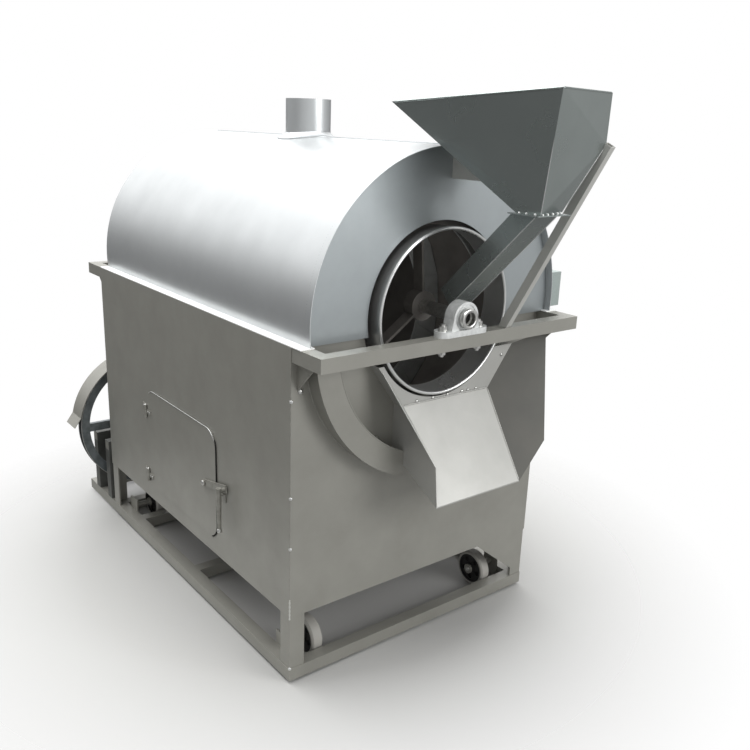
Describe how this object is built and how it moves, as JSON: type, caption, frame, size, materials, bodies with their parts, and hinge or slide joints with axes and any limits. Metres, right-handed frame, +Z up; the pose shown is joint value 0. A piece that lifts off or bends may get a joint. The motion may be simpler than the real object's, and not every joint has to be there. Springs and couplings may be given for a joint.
{
  "type": "drum nut roaster",
  "caption": "Hooded drum roaster for chestnuts and nuts with a feed hopper, discharge chute, fire door and belt drive on a wheeled base.",
  "frame": {"origin": "underside of the centre base cross rail, at its middle, under the middle of the body", "axes": "+Z up, -Y towards the hopper and chute end, +X towards the control box side"},
  "size_m": [1.1926, 2.0528, 1.677],
  "materials": {
    "body_steel": "grey painted sheet and tube, lightly soiled",
    "bright_sheet": "bare sheet steel, smooth",
    "dark_sheet": "dark grey sheet, heat stained",
    "blackened_steel": "dark hardware",
    "bearing_iron": "painted casting",
    "machined_steel": "turned steel",
    "sooty_steel": "heat-darkened steel",
    "pulley_iron": "grey iron",
    "belt_rubber": "matt black",
    "motor_paint": "blue-grey enamel",
    "box_paint": "light grey powder coat",
    "knob_plastic": "black",
    "stop_plastic": "red",
    "wheel_rubber": "grey tread on a dark hub"
  },
  "bodies": {
    "frame": {"base_side_rails": "body_steel", "base_cross_rails": "body_steel", "corner_posts": "body_steel", "gussets": "body_steel", "left_panel": "body_steel", "right_panel": "body_steel", "front_panel": "body_steel", "rear_panel": "body_steel", "top_rails": "body_steel", "front_crossbar": "body_steel", "rear_crossbar": "body_steel", "side_ledges": "bright_sheet", "hood_shell": "body_steel", "hood_front_plate": "body_steel", "flue_pipe": "bright_sheet", "front_ring": "body_steel", "chute_cheek": "dark_sheet", "chute_plate": "bright_sheet", "discharge_chute": "dark_sheet", "feed_hopper": "bright_sheet", "feed_trough": "bright_sheet", "hopper_supports": "body_steel", "front_bearing_housing": "bearing_iron", "rear_bearing_housing": "bearing_iron", "jack_bearing_housings": "bearing_iron", "bearing_bolts": "machined_steel", "drive_stands": "body_steel", "sheave_guard": "body_steel", "motor_body": "motor_paint", "motor_plate": "body_steel", "motor_belt": "belt_rubber", "drum_belt": "belt_rubber", "control_box": "box_paint", "control_box_lid": "box_paint", "hearth_tray": "sooty_steel", "fire_grate": "sooty_steel", "panel_hinges": "blackened_steel", "latch_keeper": "blackened_steel", "wheel_axles": "body_steel"},
    "drum": {"drum_shell": "sooty_steel", "drum_collar": "machined_steel", "drum_flights": "sooty_steel", "front_spider": "sooty_steel", "drum_shafts": "machined_steel", "drum_bearing_rings": "machined_steel", "drum_pulley": "pulley_iron"},
    "jackshaft": {"jack_shaft": "machined_steel", "jack_sheave": "pulley_iron", "jack_pulley": "pulley_iron"},
    "motor_shaft": {"motor_rotor": "pulley_iron"},
    "door": {"fire_door": "body_steel", "door_hinges": "blackened_steel"},
    "latch": {"latch_bar": "blackened_steel"},
    "front_left_wheel": {"front_left_wheel": "wheel_rubber"},
    "front_right_wheel": {"front_right_wheel": "wheel_rubber"},
    "rear_left_wheel": {"rear_left_wheel": "wheel_rubber"},
    "rear_right_wheel": {"rear_right_wheel": "wheel_rubber"},
    "switch_knob": {"run_switch": "knob_plastic"},
    "stop_push": {"stop_button": "stop_plastic"}
  },
  "joints": [
    {"name": "drum_spin", "type": "hinge", "parent": "frame", "child": "drum", "pos_m": [0, 0, 1.062], "axis": [0, 1, 0], "continuous": true},
    {"name": "jack_spin", "type": "hinge", "parent": "frame", "child": "jackshaft", "pos_m": [-0.295, 0.775, 0.34], "axis": [0, 1, 0], "continuous": true},
    {"name": "motor_spin", "type": "hinge", "parent": "frame", "child": "motor_shaft", "pos_m": [0.2, 0.775, 0.126], "axis": [0, 1, 0], "continuous": true},
    {"name": "door_swing", "type": "hinge", "parent": "frame", "child": "door", "pos_m": [-0.497, 0.284, 0.45], "axis": [0, 0, -1], "range_deg": [0, 110]},
    {"name": "latch_lift", "type": "hinge", "parent": "door", "child": "latch", "pos_m": [-0.497, -0.173, 0.447], "axis": [-1, 0, 0], "range_deg": [0, 40]},
    {"name": "front_left_roll", "type": "hinge", "parent": "frame", "child": "front_left_wheel", "pos_m": [-0.359, -0.5685, 0.0525], "axis": [1, 0, 0], "continuous": true},
    {"name": "front_right_roll", "type": "hinge", "parent": "frame", "child": "front_right_wheel", "pos_m": [0.359, -0.5685, 0.0525], "axis": [1, 0, 0], "continuous": true},
    {"name": "rear_left_roll", "type": "hinge", "parent": "frame", "child": "rear_left_wheel", "pos_m": [-0.359, 0.5685, 0.0525], "axis": [1, 0, 0], "continuous": true},
    {"name": "rear_right_roll", "type": "hinge", "parent": "frame", "child": "rear_right_wheel", "pos_m": [0.359, 0.5685, 0.0525], "axis": [1, 0, 0], "continuous": true},
    {"name": "switch_turn", "type": "hinge", "parent": "frame", "child": "switch_knob", "pos_m": [0.558, -0.62, 1.072], "axis": [1, 0, 0], "range_deg": [-45, 45]},
    {"name": "stop_press", "type": "slide", "parent": "frame", "child": "stop_push", "axis": [-1, 0, 0], "range_m": [0, 0.006], "stiffness_N_per_m": 800}
  ],
  "couplings": [
    {"joint": "jack_spin", "follows": "drum_spin", "ratio": 4.3929},
    {"joint": "motor_spin", "follows": "drum_spin", "ratio": 29.571}
  ]
}
